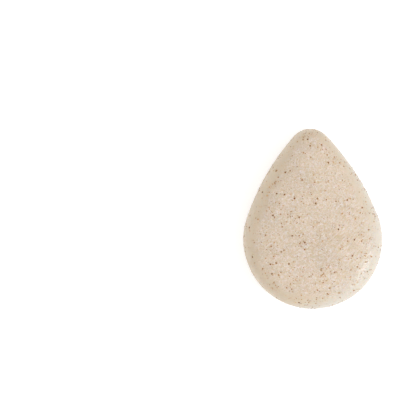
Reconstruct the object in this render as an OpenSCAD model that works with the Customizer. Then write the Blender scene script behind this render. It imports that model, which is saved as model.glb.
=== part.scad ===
// A drop-shaped facial sponge of set konjac gel, with grains of ground walnut shell moulded into it.
// It lies on its flat back: +Z is up through the crown, +Y runs to the tip, and the origin is in the
// middle of the resting face. The outline is three tangent arcs a side, and the section is a wide
// rounded rim that runs into a low crown. Each grain sits half sunk in a pocket of its own shape.

/* [Outline] */
// Length from the tip to the broad end
sponge_length = 84; // [76:1:105]
// Radius of the broad end
end_radius = 32.3; // [28:0.1:36]
// Radius of the tip
tip_radius = 10; // [9.8:0.1:14]
// Radius of the long curve of each side
side_radius = 110; // [85:1:220]

/* [Section] */
// Thickness from the resting face to the top of the crown
sponge_height = 27; // [22:0.5:34]
// Height of the widest level above the resting face
waist_height = 9; // [7:0.25:12]
// Width of the rounded rim, seen from above
rim_width = 9; // [6:0.25:9.5]
// Width of the round-over under the waist
under_width = 6; // [4:0.25:8]
// Depth of the soft hollow in the crown
hollow_depth = 0.5; // [0.2:0.1:1.5]
// Radius of the soft hollow in the crown
hollow_radius = 9; // [6:0.5:14]
// Depth to which the middle of the back has shrunk in
back_dish = 0.7; // [0.6:0.05:1.5]

/* [Walnut grains] */
// Width of a coarse grain
coarse_grain = 0.8; // [0.65:0.05:1.1]
// Width of a medium grain
medium_grain = 0.6; // [0.5:0.05:0.8]
// Width of a fine grain
fine_grain = 0.45; // [0.35:0.05:0.6]
// Corners round a coarse grain
coarse_corners = 5; // [3:1:6]
// Corners round a medium grain
medium_corners = 4; // [3:1:6]
// Corners round a fine grain
fine_corners = 3; // [3:1:6]
// Height to which a grain stands proud of the gel
grain_proud = 0.15; // [0.1:0.01:0.25]
// Depth to which a grain is sunk in the gel
grain_sunk = 0.35; // [0.25:0.05:0.6]
// Least gel between a grain and the side of the facet that it sits in
grain_margin = 0.08; // [0.05:0.01:0.12]
// Number of coarse grains
coarse_count = 72; // [10:1:90]
// Number of medium grains
medium_count = 110; // [10:1:130]
// Number of fine grains
fine_count = 150; // [10:1:180]
// Seed of the scatter of the grains
scatter_seed = 48; // [1:1:99]

/* [Hidden] */

// Side of a facet of the skin, about, and of one on the tight round-over under the waist
facet = 3.3;
under_facet = 2.4;
// How far outside the outline the columns are spaced evenly, which gathers them at the tip
column_reach = 8;

// Where the crown's middle lies on the line from the broad end's centre to the tip's
crown_share = 0.15;
// Where the hollow's middle lies on that line, and off it as a share of the broad end's radius
hollow_along_share = -0.1;
hollow_aside_share = 0.04;
// How much of the resting face is the dish, and not the land round it
dish_share = 0.8;
// The most that the rim and the round-over take of the tip's radius
round_limit_share = 0.95;
// How late the rim gives way to the crown: a higher power is a flatter crown
crown_power = 8;
// A chip's long and short way, and the least reach of a corner, as shares of the grain's width
chip_length_share = 1.15;
chip_width_share = 0.85;
least_corner_share = 0.72;
// Places that are tried for each grain that is wanted
tries_share = 2;

// The centres of the arcs. The side's arc touches the broad end and the tip from inside.
end_y = end_radius - sponge_length / 2;
tip_y = sponge_length / 2 - tip_radius;
centre_gap = tip_y - end_y;
to_end = side_radius - end_radius;
to_tip = side_radius - tip_radius;
side_rise = (pow(to_end, 2) - pow(to_tip, 2) + pow(centre_gap, 2)) / (2 * centre_gap);
side_x = -sqrt(pow(to_end, 2) - pow(side_rise, 2));
side_y = end_y + side_rise;
end_turn = atan2(end_y - side_y, -side_x);
tip_turn = atan2(tip_y - side_y, -side_x);

rim = min(rim_width, round_limit_share * tip_radius);
under = min(under_width, round_limit_share * tip_radius);
crown_y = end_y + crown_share * centre_gap;
hollow_place = [hollow_aside_share * end_radius, end_y + hollow_along_share * centre_gap];

// The arcs of the right half, from the foot of the broad end to the tip: centre, radius, turns
side_arcs = [
    [[0, end_y], end_radius, -90, end_turn],
    [[side_x, side_y], side_radius, end_turn, tip_turn],
    [[0, tip_y], tip_radius, tip_turn, 90]
];

// How much of the half outline each arc gets, with its radius grown by reach
function arc_lengths(reach) = [for (a = side_arcs) (a[1] + reach) * (a[3] - a[2]) * PI / 180];
function sum(values) = values * [for (v = values) 1];

// A point of the right half at a share of the way up it, on the outline drawn in by inset
function on_half(part, inset) =
    let (
        long = arc_lengths(column_reach - inset),
        way = part * sum(long),
        i = way < long[0] ? 0 : way < long[0] + long[1] ? 1 : 2,
        done = [0, long[0], long[0] + long[1]][i],
        arc = side_arcs[i],
        turn = arc[2] + (arc[3] - arc[2]) * (way - done) / long[i]
    )
    arc[0] + (arc[1] - inset) * [cos(turn), sin(turn)];

// A point at a share of the way round, which the left half mirrors
function on_outline(part, inset) =
    part > 0.5
        ? let (p = on_half(2 - 2 * part, inset)) [-p.x, p.y]
        : on_half(2 * part, inset);

// A level of the body is an inset of the outline, how far it is shrunk towards the crown's middle,
// and its height. Up from the waist the rim turns in as a quarter ellipse, while the crown shrinks
// towards its middle.
function crown_level(turn) = [
    rim * (1 - cos(turn)),
    sqrt(1 - pow(sin(turn), crown_power)),
    waist_height + (sponge_height - waist_height) * sin(turn)
];

// Under the waist the body turns in on a quarter ellipse, down to the resting face
function under_level(turn) = [under * (1 - cos(turn)), 1, waist_height * (1 - sin(turn))];

// Inside the land the back rises gently to its middle
function dish_level(part) = [under, dish_share * part, back_dish * pow(1 - pow(part, 2), 2)];

// Half width and height of a level, at the broad end
function across(l) = [(end_radius - l[0]) * l[1], l[2]];

// Turns that divide a quarter of the section into even steps, from its points at whole degrees
function even_turns(points, step) =
    let (
        way = [
            for (
                turn = 0, gone = 0;
                turn < len(points);
                gone = gone + norm(points[min(turn + 1, len(points) - 1)] - points[turn]),
                turn = turn + 1
            )
                [gone, turn]
        ],
        whole = way[len(way) - 1][0],
        steps = round(whole / step)
    )
    [for (i = [0 : steps]) lookup(i * whole / steps, way)];

crown_turns = even_turns([for (turn = [0 : 90]) across(crown_level(turn))], facet);
under_turns = even_turns([for (turn = [0 : 90]) across(under_level(turn))], under_facet);
dish_steps = round(dish_share * (end_radius - under) / facet);

levels = concat(
    [for (i = [1 : dish_steps]) dish_level(i / dish_steps)],
    [for (i = [len(under_turns) - 1 : -1 : 1]) under_level(under_turns[i])],
    [for (i = [0 : len(crown_turns) - 2]) crown_level(crown_turns[i])]
);

// How far the hollow takes a point of the crown down
function hollow_at(p) = hollow_depth * exp(-pow(norm([p.x, p.y] - hollow_place) / hollow_radius, 2));
function hollowed(p, z) = [p.x, p.y, z > waist_height ? z - hollow_at(p) : z];

// Columns round a level, an even number of them, and every second level turned by half a column
function columns(l) = 2 * ceil(l[1] * sum(arc_lengths(-l[0])) / facet);
function phase(row) = row % 2 / 2;
function ring(row) =
    let (l = levels[row], around = columns(l))
    [
        for (i = [0 : around - 1])
            let (p = on_outline((i + phase(row)) / around, l[0]))
            hollowed([l[1] * p.x, crown_y + l[1] * (p.y - crown_y)], l[2])
    ];

rings = [for (row = [0 : len(levels) - 1]) ring(row)];
ring_starts = [
    for (row = 0, start = 0; row < len(rings); start = start + len(rings[row]), row = row + 1)
        start
];
crown_top = hollowed([0, crown_y], sponge_height);
back_middle = [0, crown_y, back_dish];
skin_points = concat([for (r = rings) each r], [crown_top, back_middle]);
crown_index = len(skin_points) - 2;
back_index = len(skin_points) - 1;

function at(row, i) =
    let (around = len(rings[row]))
    ring_starts[row] + (i + around) % around;

// The point of the ring above that is nearest to the middle of a side of this ring
function over(row, i) =
    let (here = len(rings[row]), above = len(rings[row + 1]))
    i < 0
        ? over(row, i + here) - above
        : round((i + 0.5 + phase(row)) * above / here - phase(row + 1));

// Closed bands of triangles between the rings, and a fan at the crown and at the back
skin_faces = concat(
    [
        for (row = [0 : len(rings) - 2], i = [0 : len(rings[row]) - 1])
            each concat(
                [
                    for (j = [over(row, i - 1) : 1 : over(row, i) - 1])
                        [at(row + 1, j), at(row + 1, j + 1), at(row, i)]
                ],
                [[at(row, i), at(row + 1, over(row, i)), at(row, i + 1)]]
            )
    ],
    [
        for (i = [0 : len(rings[len(rings) - 1]) - 1])
            [at(len(rings) - 1, i), crown_index, at(len(rings) - 1, i + 1)]
    ],
    [for (i = [0 : len(rings[0]) - 1]) [at(0, i + 1), back_index, at(0, i)]]
);

// The scatter: facets are drawn evenly by area, and a grain goes wholly inside one facet
function corners(f) = [for (i = skin_faces[f]) skin_points[i]];
function square_to(c) = cross(c[2] - c[0], c[1] - c[0]);
areas = [for (f = [0 : len(skin_faces) - 1]) norm(square_to(corners(f))) / 2];
area_sums = [for (i = 0, gone = 0; i < len(areas); gone = gone + areas[i], i = i + 1) [gone, i]];
skin_area = sum(areas);

// The three kinds of grain, coarse first, and the kind of the grain with a given number
grain_widths = [coarse_grain, medium_grain, fine_grain];
grain_corners = [coarse_corners, medium_corners, fine_corners];
function kind_of(i) = i < coarse_count ? 0 : i < coarse_count + medium_count ? 1 : 2;

grain_count = coarse_count + medium_count + fine_count;
tries = ceil(tries_share * grain_count);
draws = rands(0, 1, 3 * tries, scatter_seed);

// The reach of a grain from its middle along the facet
function reach(width) = chip_length_share * width / 2;

// A grain is its place, the way out of the gel there, its width and its facet
function tried_grain(i, width) =
    let (
        f = floor(lookup(draws[3 * i] * skin_area, area_sums)),
        c = corners(f),
        sides = [norm(c[1] - c[2]), norm(c[2] - c[0]), norm(c[0] - c[1])],
        inner = sides * c / sum(sides),
        free = 1 - (reach(width) + grain_margin) * sum(sides) / (2 * areas[f]),
        far = sqrt(draws[3 * i + 1]),
        aside = draws[3 * i + 2],
        drawn = (1 - far) * c[0] + far * (1 - aside) * c[1] + far * aside * c[2]
    )
    free > 0 ? [inner + free * (drawn - inner), square_to(c) / (2 * areas[f]), width, f] : undef;

// The lowest that a grain comes, which stays off what the sponge rests on
function lowest(g) = g[0].z - norm([g[1].x, g[1].y]) * reach(g[2]) - abs(g[1].z) * grain_proud;

function is_free(g, kept) =
    !is_undef(g) && lowest(g) > 0 && len([for (k = kept) if (k[3] == g[3]) k]) == 0;

function scatter(i, kept) =
    i == tries || len(kept) == grain_count
        ? kept
        : let (g = tried_grain(i, grain_widths[kind_of(len(kept))]))
          scatter(i + 1, is_free(g, kept) ? concat(kept, [g]) : kept);

grains = scatter(0, []);

// A chip of shell has some corners above the gel and as many below, each with its own reach
function chip_points(width, around, start) =
    let (share = rands(least_corner_share, 1, 2 * around, start))
    [
        for (i = [0 : 2 * around - 1])
            let (turn = (i + (i < around ? 0 : 0.5)) * 360 / around)
            [
                share[i] * reach(width) * cos(turn),
                share[i] * chip_width_share * width / 2 * sin(turn),
                share[2 * around - 1 - i] * (i < around ? grain_proud : -grain_sunk)
            ]
    ];

// Fans over the top and the foot, and a band of triangles round the sides
function chip_faces(around) = concat(
    [for (i = [1 : around - 2]) each [[0, i + 1, i], [around, around + i, around + i + 1]]],
    [
        for (i = [0 : around - 1])
            let (next = (i + 1) % around)
            each [[i, next, around + i], [next, around + next, around + i]]
    ]
);

module grain(i) {
    place = grains[i][0];
    outward = grains[i][1];
    width = grains[i][2];
    around = grain_corners[kind_of(i)];
    start = scatter_seed + i;
    translate(place)
        rotate([0, acos(outward.z), atan2(outward.y, outward.x)])
            rotate(rands(0, 360, 1, start)[0])
                hull()
                    polyhedron(chip_points(width, around, start), chip_faces(around));
}

module grains_of(kind) {
    for (i = [0 : len(grains) - 1])
        if (kind_of(i) == kind)
            grain(i);
}

module sponge_body() {
    color([0.87, 0.8, 0.72])
        difference() {
            polyhedron(skin_points, skin_faces);
            for (i = [0 : len(grains) - 1])
                grain(i);
        }
}

module coarse_walnut_grains() {
    color([0.48, 0.29, 0.17])
        grains_of(0);
}

module medium_walnut_grains() {
    color([0.62, 0.42, 0.27])
        grains_of(1);
}

module fine_walnut_grains() {
    color([0.74, 0.56, 0.4])
        grains_of(2);
}

sponge_body();
coarse_walnut_grains();
medium_walnut_grains();
fine_walnut_grains();
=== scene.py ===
"""The looks of a drop-shaped konjac face sponge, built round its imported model.

Everything is in metres, in the model's own frame: the sponge lies on its back at z = 0 with its tip
towards +Y. MM turns a real size in millimetres into metres.
"""

import math

import bmesh
import bpy
import numpy as np
from mathutils import Matrix, Vector, noise
from mathutils.kdtree import KDTree


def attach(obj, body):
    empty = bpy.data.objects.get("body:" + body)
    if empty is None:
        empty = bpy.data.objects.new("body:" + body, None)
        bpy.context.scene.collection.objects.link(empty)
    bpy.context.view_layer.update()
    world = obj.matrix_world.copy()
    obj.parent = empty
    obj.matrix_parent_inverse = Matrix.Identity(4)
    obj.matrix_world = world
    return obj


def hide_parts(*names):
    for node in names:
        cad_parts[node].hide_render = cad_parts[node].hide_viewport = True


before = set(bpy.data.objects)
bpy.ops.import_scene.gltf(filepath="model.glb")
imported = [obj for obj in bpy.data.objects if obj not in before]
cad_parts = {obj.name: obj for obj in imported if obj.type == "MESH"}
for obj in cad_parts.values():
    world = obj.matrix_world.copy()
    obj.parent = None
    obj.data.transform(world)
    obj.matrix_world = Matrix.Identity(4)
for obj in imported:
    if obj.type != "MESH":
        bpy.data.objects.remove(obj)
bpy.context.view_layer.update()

MM = 0.001

# The sponge's outline and section, as its maker's mould has them
SPONGE_LENGTH = 84 * MM
END_RADIUS = 32.3 * MM
TIP_RADIUS = 10 * MM
SIDE_RADIUS = 110 * MM
SPONGE_HEIGHT = 27 * MM
WAIST_HEIGHT = 9 * MM
RIM_WIDTH = 9 * MM
UNDER_WIDTH = 6 * MM
BACK_DISH = 0.7 * MM
DISH_SHARE = 0.8
CROWN_SHARE = 0.15
CROWN_POWER = 8

# The soft hollow in the crown, right of the middle of the broad end
HOLLOW_DEPTH = 0.5 * MM
HOLLOW_RADIUS = 9 * MM
HOLLOW_MIDDLE = Vector((1.3, -13.9)) * MM

# Squares along each edge of the cube that the sponge is blown up from
SQUARES = 128

# The roughest side of the rim, painted palest as painted sheen towards the key softbox, in degrees from +X
FELT_AND_SHEEN_SIDE = -32

# At that side the skin is smooth where it is steeper than the first of these, in degrees, and felted
# where it is flatter than the second. Elsewhere the smooth rim reaches in to skin flatter by the third.
RIM_TILT = 50
CROWN_TILT = 28
DAMP_TILT = 12

GRAIN_NODES = ["coarse_walnut_grains", "medium_walnut_grains", "fine_walnut_grains"]
DUST_COUNT = 3200
DUST_SEED = 11


def arcs():
    """The outline's three tangent arcs, from the foot of the broad end up the right side to the tip."""
    end_y = END_RADIUS - SPONGE_LENGTH / 2
    tip_y = SPONGE_LENGTH / 2 - TIP_RADIUS
    gap = tip_y - end_y
    to_end, to_tip = SIDE_RADIUS - END_RADIUS, SIDE_RADIUS - TIP_RADIUS
    rise = (to_end**2 - to_tip**2 + gap**2) / (2 * gap)
    side_x, side_y = -math.sqrt(to_end**2 - rise**2), end_y + rise
    end_turn = math.atan2(end_y - side_y, -side_x)
    tip_turn = math.atan2(tip_y - side_y, -side_x)
    return [
        (0, end_y, END_RADIUS, -math.pi / 2, end_turn),
        (side_x, side_y, SIDE_RADIUS, end_turn, tip_turn),
        (0, tip_y, TIP_RADIUS, tip_turn, math.pi / 2),
    ]


ARCS = arcs()
END_Y, TIP_Y = ARCS[0][1], ARCS[2][1]
CROWN_Y = END_Y + CROWN_SHARE * (TIP_Y - END_Y)


def outline(part, inset):
    """Points at shares of the way round the outline, drawn in by inset."""
    half = 2 * np.minimum(part, 1 - part)
    ways = np.cumsum([0] + [radius * (stop - start) for _, _, radius, start, stop in ARCS])
    way = half * ways[-1]
    x, y = np.zeros_like(part), np.zeros_like(part)
    for (cx, cy, radius, start, stop), before, after in zip(ARCS, ways, ways[1:]):
        here = (way >= before) & (way <= after)
        turn = start + (stop - start) * (way - before) / (after - before)
        x = np.where(here, cx + (radius - inset) * np.cos(turn), x)
        y = np.where(here, cy + (radius - inset) * np.sin(turn), y)
    return np.where(part > 0.5, -x, x), y


def section_tables():
    """The levels of the section above and below the waist, from each middle out to the waist.

    Each table holds the share of the skin gone by, the inset, the shrink towards the crown's middle
    and the height.
    """
    turn = np.linspace(math.pi / 2, 0, 400)
    rise = np.sin(turn)
    above = [
        RIM_WIDTH * (1 - np.cos(turn)),
        np.sqrt(1 - rise**CROWN_POWER),
        WAIST_HEIGHT + (SPONGE_HEIGHT - WAIST_HEIGHT) * rise,
    ]
    part = np.linspace(0, 1, 200)
    dish = [
        np.full_like(part, UNDER_WIDTH),
        DISH_SHARE * part,
        BACK_DISH * (1 - part**2) ** 2,
    ]
    land = [
        np.full_like(part, UNDER_WIDTH),
        DISH_SHARE + (1 - DISH_SHARE) * part,
        np.zeros_like(part),
    ]
    turned = part * math.pi / 2
    round_over = [
        UNDER_WIDTH * (1 - np.sin(turned)),
        np.ones_like(part),
        WAIST_HEIGHT * (1 - np.cos(turned)),
    ]
    below = [np.concatenate(row) for row in zip(dish, land, round_over)]
    tables = []
    for inset, shrink, height in (above, below):
        reach = (END_RADIUS - inset) * shrink
        steps = np.hypot(np.diff(reach), np.diff(height))
        skin = np.concatenate([[0], np.cumsum(steps * (reach[1:] + reach[:-1]))])
        tables.append((skin / skin[-1], inset, shrink, height))
    return tables


def moulded(points):
    """Takes points of a ball to the sponge's moulded skin."""
    x, y, z = points.T / np.linalg.norm(points, axis=1)
    part = (np.arctan2(x, -y) / (2 * math.pi)) % 1
    share = 1 - np.abs(z)
    above, below = section_tables()
    inset, shrink, height = (
        np.where(z >= 0, np.interp(share, above[0], up), np.interp(share, below[0], down))
        for up, down in zip(above[1:], below[1:])
    )
    px, py = outline(part, inset)
    px, py = shrink * px, CROWN_Y + shrink * (py - CROWN_Y)
    gone = np.hypot(px - HOLLOW_MIDDLE.x, py - HOLLOW_MIDDLE.y) / HOLLOW_RADIUS
    height = np.where(height > WAIST_HEIGHT, height - HOLLOW_DEPTH * np.exp(-(gone**2)), height)
    return np.column_stack([px, py, height])


def smooth_step(value, low, high):
    t = np.clip((value - low) / (high - low), 0, 1)
    return t * t * (3 - 2 * t)


def rolling(points, size, shift, stretch=(1, 1, 1)):
    """Soft noise of about -1 to 1 whose lumps have that size."""
    scaled = points * np.array(stretch) / size + shift
    return np.array([noise.noise(Vector(p)) for p in scaled])


def pores(points, size, shift):
    """Pores about size apart: -1 in the middle of each, and a low lip round it."""
    scaled = points / size + shift
    near = np.array([noise.voronoi(Vector(p))[0][0] for p in scaled])
    return smooth_step(near, 0.05, 0.32) - 1 + 0.4 * np.exp(-(((near - 0.4) / 0.09) ** 2))


def mesh_arrays(mesh):
    """A mesh's vertices and their normals as arrays."""
    points = np.zeros(len(mesh.vertices) * 3)
    normals = np.zeros(len(mesh.vertices) * 3)
    mesh.vertices.foreach_get("co", points)
    mesh.vertex_normals.foreach_get("vector", normals)
    return points.reshape(-1, 3), normals.reshape(-1, 3)


def put_points(mesh, points):
    mesh.vertices.foreach_set("co", points.ravel())
    mesh.update()


def felt(points, drawn):
    """The felted face of the gel, about -1 to 1: lumps, fibres and pores, drawn out where it was pulled."""
    turned = points @ np.array(Matrix.Rotation(math.radians(-45), 3, "Z"))
    return (
        0.5 * rolling(points, 1.8 * MM, 12.3)
        + 0.6 * rolling(points, 0.95 * MM, 19.9)
        + 0.4 * pores(points, 1.9 * MM, 5.3)
        + 0.3 * drawn * rolling(turned, 0.7 * MM, 31.7, (1, 0.2, 1))
    )


def walnut_grains():
    """The middle and the reach of every walnut grain of the frame."""
    grains = []
    for name in GRAIN_NODES:
        bm = bmesh.new()
        bm.from_mesh(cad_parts[name].data)
        bmesh.ops.remove_doubles(bm, verts=bm.verts, dist=0.001 * MM)
        left = set(bm.verts)
        while left:
            grain, edge = set(), [left.pop()]
            while edge:
                corner = edge.pop()
                grain.add(corner)
                edge += [e.other_vert(corner) for e in corner.link_edges if e.other_vert(corner) in left]
                left -= set(edge)
            middle = sum((corner.co for corner in grain), Vector()) / len(grain)
            grains.append((middle, max((corner.co - middle).length for corner in grain)))
        bm.free()
    return grains


def seat_grains(points, normals, grains):
    """Draws the gel to a small seat round every grain, and returns how stained it is there."""
    seat_height, seat_fade, stain_width = 0.12 * MM, 0.9 * MM, 0.2 * MM
    tree = KDTree(len(points))
    for i, p in enumerate(points):
        tree.insert(p, i)
    tree.balance()
    stain = np.zeros(len(points))
    for middle, reach in grains:
        outward = Vector(normals[tree.find(middle)[1]])
        for co, i, _ in tree.find_range(middle, reach + 2 * seat_fade):
            high = (co - middle).dot(outward)
            aside = (co - middle - high * outward).length
            weight = 1 - float(smooth_step(aside, reach, reach + seat_fade))
            points[i] = co + weight * (seat_height - high) * outward
            stain[i] = max(stain[i], 0.75 * math.exp(-((max(aside - 0.6 * reach, 0) / stain_width) ** 2)))
    return stain


def make_sponge(grains):
    """The whole sponge: a cube blown up to the mould's form, then roughened and seated round its grains."""
    bm = bmesh.new()
    bmesh.ops.create_cube(bm, size=2)
    bmesh.ops.subdivide_edges(bm, edges=bm.edges, cuts=SQUARES - 1, use_grid_fill=True)
    mesh = bpy.data.meshes.new("konjac_sponge")
    bm.to_mesh(mesh)
    bm.free()
    mesh.shade_smooth()
    points, _ = mesh_arrays(mesh)
    put_points(mesh, moulded(np.tan(points * math.pi / 4)))

    points, normals = mesh_arrays(mesh)
    tilt = np.degrees(np.arccos(np.abs(normals[:, 2])))
    ragged = 9 * rolling(points, 9 * MM, 41.3) + 7 * rolling(points, 2 * MM, 44.1)
    felt_and_sheen_way = np.array([math.cos(math.radians(FELT_AND_SHEEN_SIDE)), math.sin(math.radians(FELT_AND_SHEEN_SIDE))])
    off = points[:, :2] - [0, END_Y]
    facing_dry = off @ felt_and_sheen_way / np.linalg.norm(off, axis=1)
    off_tip = smooth_step(points[:, 1], 30 * MM, 20 * MM)
    ragged += DAMP_TILT * smooth_step(facing_dry, 0.9, 0.5) * off_tip
    rough = smooth_step(tilt + ragged, RIM_TILT, CROWN_TILT)
    drawn = rough * smooth_step(points[:, 0], 2 * MM, 12 * MM)
    drawn *= smooth_step(np.abs(points[:, 1] + 8 * MM), 22 * MM, 10 * MM)
    # Painted sheen: how far the skin faces the key softbox's side. The gel is painted paler there, and its
    # felt is raised higher.
    painted_sheen = smooth_step(normals[:, :2] @ felt_and_sheen_way, 0.08, 0.6)
    hollow = np.exp(-(((points[:, :2] - HOLLOW_MIDDLE) ** 2).sum(axis=1)) / HOLLOW_RADIUS**2)
    face = felt(points, drawn)
    swells = 0.15 * rolling(points, 17 * MM, 3.1) + (0.02 + 0.08 * rough) * rolling(points, 5 * MM, 7.7)
    relief = 0.02 + 0.13 * rough * (1 - 0.4 * drawn) * (1 + 0.9 * painted_sheen)
    points += normals * (MM * (swells + relief * face))[:, None]
    put_points(mesh, points)
    points, normals = mesh_arrays(mesh)
    stain = seat_grains(points, normals, grains)
    points[:, 2] = np.maximum(points[:, 2], 0)
    put_points(mesh, points)

    looks = {"rough": rough, "felt": face, "drawn": drawn, "painted_sheen": painted_sheen, "hollow": hollow, "stain": stain}
    for name, values in looks.items():
        mesh.attributes.new(name, "FLOAT", "POINT").data.foreach_set("value", values)
    sponge = bpy.data.objects.new("konjac_sponge", mesh)
    bpy.context.scene.collection.objects.link(sponge)
    return sponge


def make_dust(sponge, grains):
    """Shell dust: fine five-sided chips, half sunk in the gel: some round the grains, some in clusters."""
    near_grains, clustered, cluster_size, cluster_reach = 0.25, 0.3, 5, 1.6 * MM
    least_width, most_width, thickness = 0.18 * MM, 0.56 * MM, 0.4
    least_on_side, proud_of_land = 0.1, 0.01 * MM
    rng = np.random.default_rng(DUST_SEED)
    polygons = sponge.data.polygons
    areas = np.zeros(len(polygons))
    middles, normals = np.zeros(len(polygons) * 3), np.zeros(len(polygons) * 3)
    polygons.foreach_get("area", areas)
    polygons.foreach_get("center", middles)
    polygons.foreach_get("normal", normals)
    middles, normals = middles.reshape(-1, 3), normals.reshape(-1, 3)
    areas *= least_on_side + (1 - least_on_side) * smooth_step(np.abs(normals[:, 2]), 0.2, 0.6)
    tree = KDTree(len(middles))
    for i, p in enumerate(middles):
        tree.insert(p, i)
    tree.balance()
    chosen = rng.choice(len(areas), DUST_COUNT, p=areas / areas.sum())
    bm = bmesh.new()
    tone = bm.verts.layers.float.new("tone")
    for n, face in enumerate(chosen):
        if n < near_grains * DUST_COUNT:
            heart, _ = grains[rng.integers(len(grains))]
        else:
            heart = middles[chosen[n - n % cluster_size]]
        if n < (near_grains + clustered) * DUST_COUNT:
            near = [i for _, i, _ in tree.find_range(heart, cluster_reach)]
            face = near[rng.integers(len(near))]
        width = least_width + (most_width - least_width) * rng.random() ** 3
        outward = Vector(normals[face])
        turn = outward.to_track_quat("Z", "Y").to_matrix().to_4x4()
        spin = Matrix.Rotation(rng.random() * 2 * math.pi, 4, "Z")
        stretch = Matrix.Diagonal((1 + 0.5 * rng.random(), 1, 1, 1))
        chip = bmesh.ops.create_cone(
            bm,
            cap_ends=True,
            segments=5,
            radius1=0.5 * width,
            radius2=0.35 * width,
            depth=thickness * width,
            matrix=Matrix.Translation(middles[face]) @ turn @ spin @ stretch,
        )
        shade = rng.random()
        for corner in chip["verts"]:
            corner[tone] = shade
            corner.co.z = max(corner.co.z, -proud_of_land)
    mesh = bpy.data.meshes.new("shell_dust")
    bm.to_mesh(mesh)
    bm.free()
    dust = bpy.data.objects.new("shell_dust", mesh)
    bpy.context.scene.collection.objects.link(dust)
    return dust


def linear(code):
    """An sRGB hex colour as linear red, green, blue and alpha."""
    values = [int(code[i : i + 2], 16) / 255 for i in (0, 2, 4)]
    return [v / 12.92 if v <= 0.04045 else ((v + 0.055) / 1.055) ** 2.4 for v in values] + [1]


def node(tree, kind, inputs=None, **settings):
    """Adds a node with its settings. An input is a value, a node's output, or a node for its first one."""
    made = tree.nodes.new(kind)
    for name, value in settings.items():
        setattr(made, name, value)
    for name, value in (inputs or {}).items():
        if isinstance(value, bpy.types.Node):
            value = value.outputs[0]
        if isinstance(value, bpy.types.NodeSocket):
            tree.links.new(value, made.inputs[name])
        else:
            made.inputs[name].default_value = value
    return made


def new_material(name):
    material = bpy.data.materials.new(name)
    material.use_nodes = True
    tree = material.node_tree
    tree.nodes.clear()
    return material, tree, node(tree, "ShaderNodeTexCoord").outputs["Object"]


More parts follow.
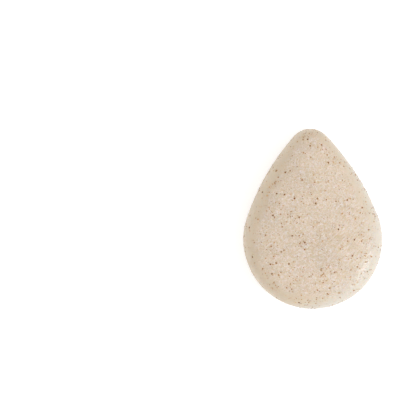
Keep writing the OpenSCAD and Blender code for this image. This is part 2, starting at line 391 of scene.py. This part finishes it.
def konjac_gel():
    """Konjac gel, set in a mould, frozen and thawed: a fine-celled foam, felted and faintly moist.

    The eye sees a warm cream body colour with a little light carried under the skin, a smooth yellower
    rim, painted paler and greyer as painted sheen on the side that faces the key softbox, a crown
    mottled by lighter, drier threads and by painted shade that follows its relief, lighter on lumps and
    darker in pores and dips, drawn out in soft streaks where it was pulled, buried shell that shows
    through as tan spots, stains round the shell, and a thin moist gloss that glints on the lumps.
    """
    material, tree, place = new_material("konjac_gel_foam")
    rough, face, drawn, painted_sheen, hollow, stain = (
        node(tree, "ShaderNodeAttribute", attribute_name=name).outputs["Fac"]
        for name in ("rough", "felt", "drawn", "painted_sheen", "hollow", "stain")
    )

    cells = node(
        tree, "ShaderNodeTexNoise", {"Vector": place, "Scale": 1 / (0.5 * MM), "Detail": 2, "Roughness": 0.7}
    )
    # The cells' noise is also the bump's height: this tone paints the bump's dips darker and its tops lighter,
    # as painted shade.
    cell_tone_and_pore_shade = node(
        tree,
        "ShaderNodeMapRange",
        {"Value": cells, "From Min": 0.2, "From Max": 0.8, "To Min": -0.8, "To Max": 0.8},
    )
    waves = node(tree, "ShaderNodeTexNoise", {"Vector": place, "Scale": 1 / (1.6 * MM), "Detail": 1})
    wave_side = node(tree, "ShaderNodeMath", {0: waves, 1: 0.5}, operation="SUBTRACT")
    off_thread = node(tree, "ShaderNodeMath", {0: wave_side}, operation="ABSOLUTE")
    thread_tone = node(
        tree,
        "ShaderNodeMapRange",
        {"Value": off_thread, "From Min": 0.06, "From Max": 0, "To Min": -0.13, "To Max": 0.57},
    )
    along = node(
        tree,
        "ShaderNodeMapping",
        {"Vector": place, "Rotation": (0, 0, math.radians(-45)), "Scale": (1, 6, 1)},
        vector_type="TEXTURE",
    )
    streaks = node(tree, "ShaderNodeTexNoise", {"Vector": along, "Scale": 1 / (0.6 * MM), "Detail": 0})
    streak_tone = node(
        tree,
        "ShaderNodeMapRange",
        {"Value": streaks, "From Min": 0.3, "From Max": 0.7, "To Min": -0.38, "To Max": 0.38},
    )

    # The tone rises with the felt relief and with the cells: painted shade in dips and painted light on lumps,
    # over the gel's own mottle of lighter threads and drawn streaks.
    dry_tone_and_relief_shade = node(tree, "ShaderNodeMath", {0: face, 1: 0.2, 2: cell_tone_and_pore_shade}, operation="MULTIPLY_ADD")
    dry_tone_and_relief_shade = node(tree, "ShaderNodeMath", {0: thread_tone, 1: rough, 2: dry_tone_and_relief_shade}, operation="MULTIPLY_ADD")
    dry_tone_and_relief_shade = node(tree, "ShaderNodeMath", {0: streak_tone, 1: drawn, 2: dry_tone_and_relief_shade}, operation="MULTIPLY_ADD")
    felted = node(tree, "ShaderNodeMapRange", {"Value": rough, "To Min": 0.35, "To Max": 1})
    felted = node(tree, "ShaderNodeMath", {0: drawn, 1: -0.3, 2: felted}, operation="MULTIPLY_ADD")
    felted = node(tree, "ShaderNodeMath", {0: hollow, 1: 0.3, 2: felted}, operation="MULTIPLY_ADD")
    dryness_and_relief_shade = node(tree, "ShaderNodeMath", {0: dry_tone_and_relief_shade, 1: felted, 2: 0.45}, operation="MULTIPLY_ADD")
    damp_and_shaded_gel = node(
        tree, "ShaderNodeMix", {0: rough, 6: linear("D8C4A7"), 7: linear("D9C3A3")}, data_type="RGBA"
    ).outputs[2]
    dry_and_lit_gel = node(
        tree, "ShaderNodeMix", {0: rough, 6: linear("E3D1BB"), 7: linear("EBDCD1")}, data_type="RGBA"
    ).outputs[2]
    mottled = node(
        tree, "ShaderNodeMix", {0: dryness_and_relief_shade, 6: damp_and_shaded_gel, 7: dry_and_lit_gel}, data_type="RGBA", clamp_factor=False
    ).outputs[2]

    clouds = node(tree, "ShaderNodeTexNoise", {"Vector": place, "Scale": 1 / (6 * MM), "Detail": 3})
    cloud_tone = node(
        tree,
        "ShaderNodeMapRange",
        {"Value": clouds, "From Min": 0.3, "From Max": 0.7, "To Min": 0.96, "To Max": 1.03},
    )
    cloud_tone = node(
        tree, "ShaderNodeMath", {0: hollow, 1: -0.08, 2: cloud_tone}, operation="MULTIPLY_ADD"
    )
    clouded = node(
        tree, "ShaderNodeMix", {0: 1, 6: mottled, 7: cloud_tone}, data_type="RGBA", blend_type="MULTIPLY"
    ).outputs[2]
    # Painted sheen: the skin that faces the key softbox is painted paler and greyer, towards DFD8CC.
    painted_sheen_share = node(tree, "ShaderNodeMath", {0: painted_sheen, 1: 0.75}, operation="MULTIPLY")
    sheen_painted = node(
        tree, "ShaderNodeMix", {0: painted_sheen_share, 6: clouded, 7: linear("DFD8CC")}, data_type="RGBA"
    ).outputs[2]

    buried = node(tree, "ShaderNodeTexVoronoi", {"Vector": place, "Scale": 1 / (1.7 * MM)}).outputs
    spots = node(
        tree,
        "ShaderNodeMapRange",
        {"Value": buried["Distance"], "From Min": 0.2, "From Max": 0.05, "To Max": 0.55},
    )
    some = node(tree, "ShaderNodeMath", {0: buried["Color"], 1: 0.5}, operation="GREATER_THAN")
    spots = node(tree, "ShaderNodeMath", {0: spots, 1: some}, operation="MULTIPLY")
    marks = node(tree, "ShaderNodeMath", {0: spots, 1: stain}, operation="MAXIMUM")
    stained = node(
        tree,
        "ShaderNodeMix",
        {0: marks, 6: sheen_painted, 7: linear("F8CE8C")},
        data_type="RGBA",
        blend_type="MULTIPLY",
    ).outputs[2]

    small_pores = node(tree, "ShaderNodeTexVoronoi", {"Vector": place, "Scale": 1 / (0.6 * MM)})
    height = node(tree, "ShaderNodeMath", {0: cells, 1: small_pores}, operation="ADD")
    strength = node(tree, "ShaderNodeMapRange", {"Value": rough, "To Min": 0.2, "To Max": 0.36})
    bump = node(tree, "ShaderNodeBump", {"Height": height, "Distance": 0.3 * MM, "Strength": strength})
    moisture = node(tree, "ShaderNodeMapRange", {"Value": rough, "To Min": 0.15, "To Max": 0.45})
    film = node(tree, "ShaderNodeBump", {"Height": cells, "Distance": 0.3 * MM, "Strength": 0.28})
    shader = node(
        tree,
        "ShaderNodeBsdfPrincipled",
        {
            "Base Color": stained,
            "Roughness": node(tree, "ShaderNodeMapRange", {"Value": rough, "To Min": 0.5, "To Max": 0.7}),
            "IOR": 1.4,
            "Subsurface Weight": 0.25,
            "Subsurface Radius": (1, 0.62, 0.36),
            "Subsurface Scale": 0.6 * MM,
            "Coat Weight": moisture,
            "Coat Roughness": 0.14,
            "Coat IOR": 1.5,
            "Coat Normal": film,
            "Normal": bump,
        },
    )
    node(tree, "ShaderNodeOutputMaterial", {"Surface": shader})
    return material


def walnut_shell(name, dark, light, tone=None):
    """Ground walnut shell: fibrous brown chips, wetted by the gel, so that they hardly shine.

    The tone attribute holds each chip's own shade, and without one the shade follows a slow noise.
    """
    material, tree, place = new_material(name)
    if tone:
        shade = node(tree, "ShaderNodeAttribute", attribute_name=tone).outputs["Fac"]
    else:
        slow = node(tree, "ShaderNodeTexNoise", {"Vector": place, "Scale": 1 / (0.9 * MM), "Detail": 0})
        shade = node(tree, "ShaderNodeMapRange", {"Value": slow, "From Min": 0.3, "From Max": 0.7})
    fibre = node(tree, "ShaderNodeTexNoise", {"Vector": place, "Scale": 1 / (0.15 * MM), "Detail": 2})
    fleck = node(
        tree,
        "ShaderNodeMapRange",
        {"Value": fibre, "From Min": 0.3, "From Max": 0.7, "To Min": -0.25, "To Max": 0.25},
    )
    share = node(tree, "ShaderNodeMath", {0: shade, 1: fleck}, operation="ADD", use_clamp=True)
    colour = node(
        tree, "ShaderNodeMix", {0: share, 6: linear(dark), 7: linear(light)}, data_type="RGBA"
    ).outputs[2]
    shader = node(tree, "ShaderNodeBsdfPrincipled", {"Base Color": colour, "Roughness": 0.8, "IOR": 1.2})
    node(tree, "ShaderNodeOutputMaterial", {"Surface": shader})
    return material


def seen_directly(tree):
    """1 for rays that show the surroundings themselves: to the camera, in gloss and through glass."""
    path = node(tree, "ShaderNodeLightPath").outputs
    seen = node(
        tree, "ShaderNodeMath", {0: path["Is Camera Ray"], 1: path["Is Glossy Ray"]}, operation="MAXIMUM"
    )
    return node(tree, "ShaderNodeMath", {0: seen, 1: path["Is Transmission Ray"]}, operation="MAXIMUM")


def make_floor():
    """A white sweep that renders as white and keeps the sponge's soft shadow. It lies a hair below z = 0."""
    half_width, hair = 3, 0.02 * MM
    bm = bmesh.new()
    bmesh.ops.create_grid(bm, x_segments=1, y_segments=1, size=half_width)
    bmesh.ops.translate(bm, verts=bm.verts, vec=(0, 0, -hair))
    mesh = bpy.data.meshes.new("floor")
    bm.to_mesh(mesh)
    bm.free()
    floor = bpy.data.objects.new("floor", mesh)
    bpy.context.scene.collection.objects.link(floor)
    material, tree, _ = new_material("white_sweep")
    paint = node(tree, "ShaderNodeBsdfDiffuse", {"Color": linear("F2F2F2")})
    glow = node(tree, "ShaderNodeEmission", {"Color": (0.4, 0.4, 0.4, 1), "Strength": seen_directly(tree)})
    both = node(tree, "ShaderNodeAddShader", {0: paint, 1: glow})
    node(tree, "ShaderNodeOutputMaterial", {"Surface": both})
    mesh.materials.append(material)


def light_room():
    """A white room: even light from all round, and a white backdrop."""
    world = bpy.data.worlds.new("white_room")
    bpy.context.scene.world = world
    world.use_nodes = True
    tree = world.node_tree
    tree.nodes.clear()
    room_level = 0.835
    level = node(tree, "ShaderNodeMapRange", {"Value": seen_directly(tree), "To Min": room_level, "To Max": 1})
    room = node(tree, "ShaderNodeBackground", {"Color": (1, 1, 1, 1), "Strength": level})
    node(tree, "ShaderNodeOutputWorld", {"Surface": room})


def add_softbox(name, azimuth, elevation, distance, size, watts):
    """A square softbox aimed at the sponge's middle. Azimuth 0 stands at +X and 90 at +Y."""
    lamp = bpy.data.lights.new(name, "AREA")
    lamp.shape = "SQUARE"
    lamp.size = size
    lamp.energy = watts
    box = bpy.data.objects.new(name, lamp)
    a, e = math.radians(azimuth), math.radians(elevation)
    away = Vector((math.cos(a) * math.cos(e), math.sin(a) * math.cos(e), math.sin(e)))
    box.location = distance * away
    box.rotation_euler = away.to_track_quat("Z", "Y").to_euler()
    bpy.context.scene.collection.objects.link(box)


def make_camera():
    """Straight down from 0.7 m above the waist, with the sponge right of the middle of the frame."""
    picture_pixels = 400
    pixel = 0.4674 * MM
    end_pixel = Vector((312.4, 239.5))
    lean = math.radians(1.59)
    distance = 0.7
    camera = bpy.data.cameras.new("camera")
    camera.sensor_width = 36
    camera.lens = camera.sensor_width * distance / (picture_pixels * pixel)
    seen = bpy.data.objects.new("camera", camera)
    across = Vector((math.cos(lean), -math.sin(lean), 0))
    up = Vector((math.sin(lean), math.cos(lean), 0))
    off = (end_pixel - Vector((picture_pixels, picture_pixels)) / 2) * pixel
    seen.location = Vector((0, END_Y, WAIST_HEIGHT + distance)) - off.x * across + off.y * up
    seen.rotation_euler = (0, 0, -lean)
    bpy.context.scene.collection.objects.link(seen)
    bpy.context.scene.camera = seen


grains = walnut_grains()
sponge = make_sponge(grains)
sponge.data.materials.append(konjac_gel())
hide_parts("sponge_body")
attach(sponge, "root")

SHELL_COLOURS = [
    ("walnut_shell_dark", "481E03", "96591E"),
    ("walnut_shell", "482003", "905318"),
    ("walnut_shell_light", "6E3C08", "AA6C2A"),
]
for name, (shell, dark, light) in zip(GRAIN_NODES, SHELL_COLOURS):
    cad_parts[name].data.materials.clear()
    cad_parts[name].data.materials.append(walnut_shell(shell, dark, light))

dust = make_dust(sponge, grains)
dust.data.materials.append(walnut_shell("walnut_shell_dust", "96580F", "C8924A", tone="tone"))
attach(dust, "root")

make_floor()
light_room()
add_softbox("key_softbox", azimuth=-30, elevation=31, distance=0.9, size=0.22, watts=2.25)
make_camera()
bpy.context.scene.view_settings.view_transform = "Standard"
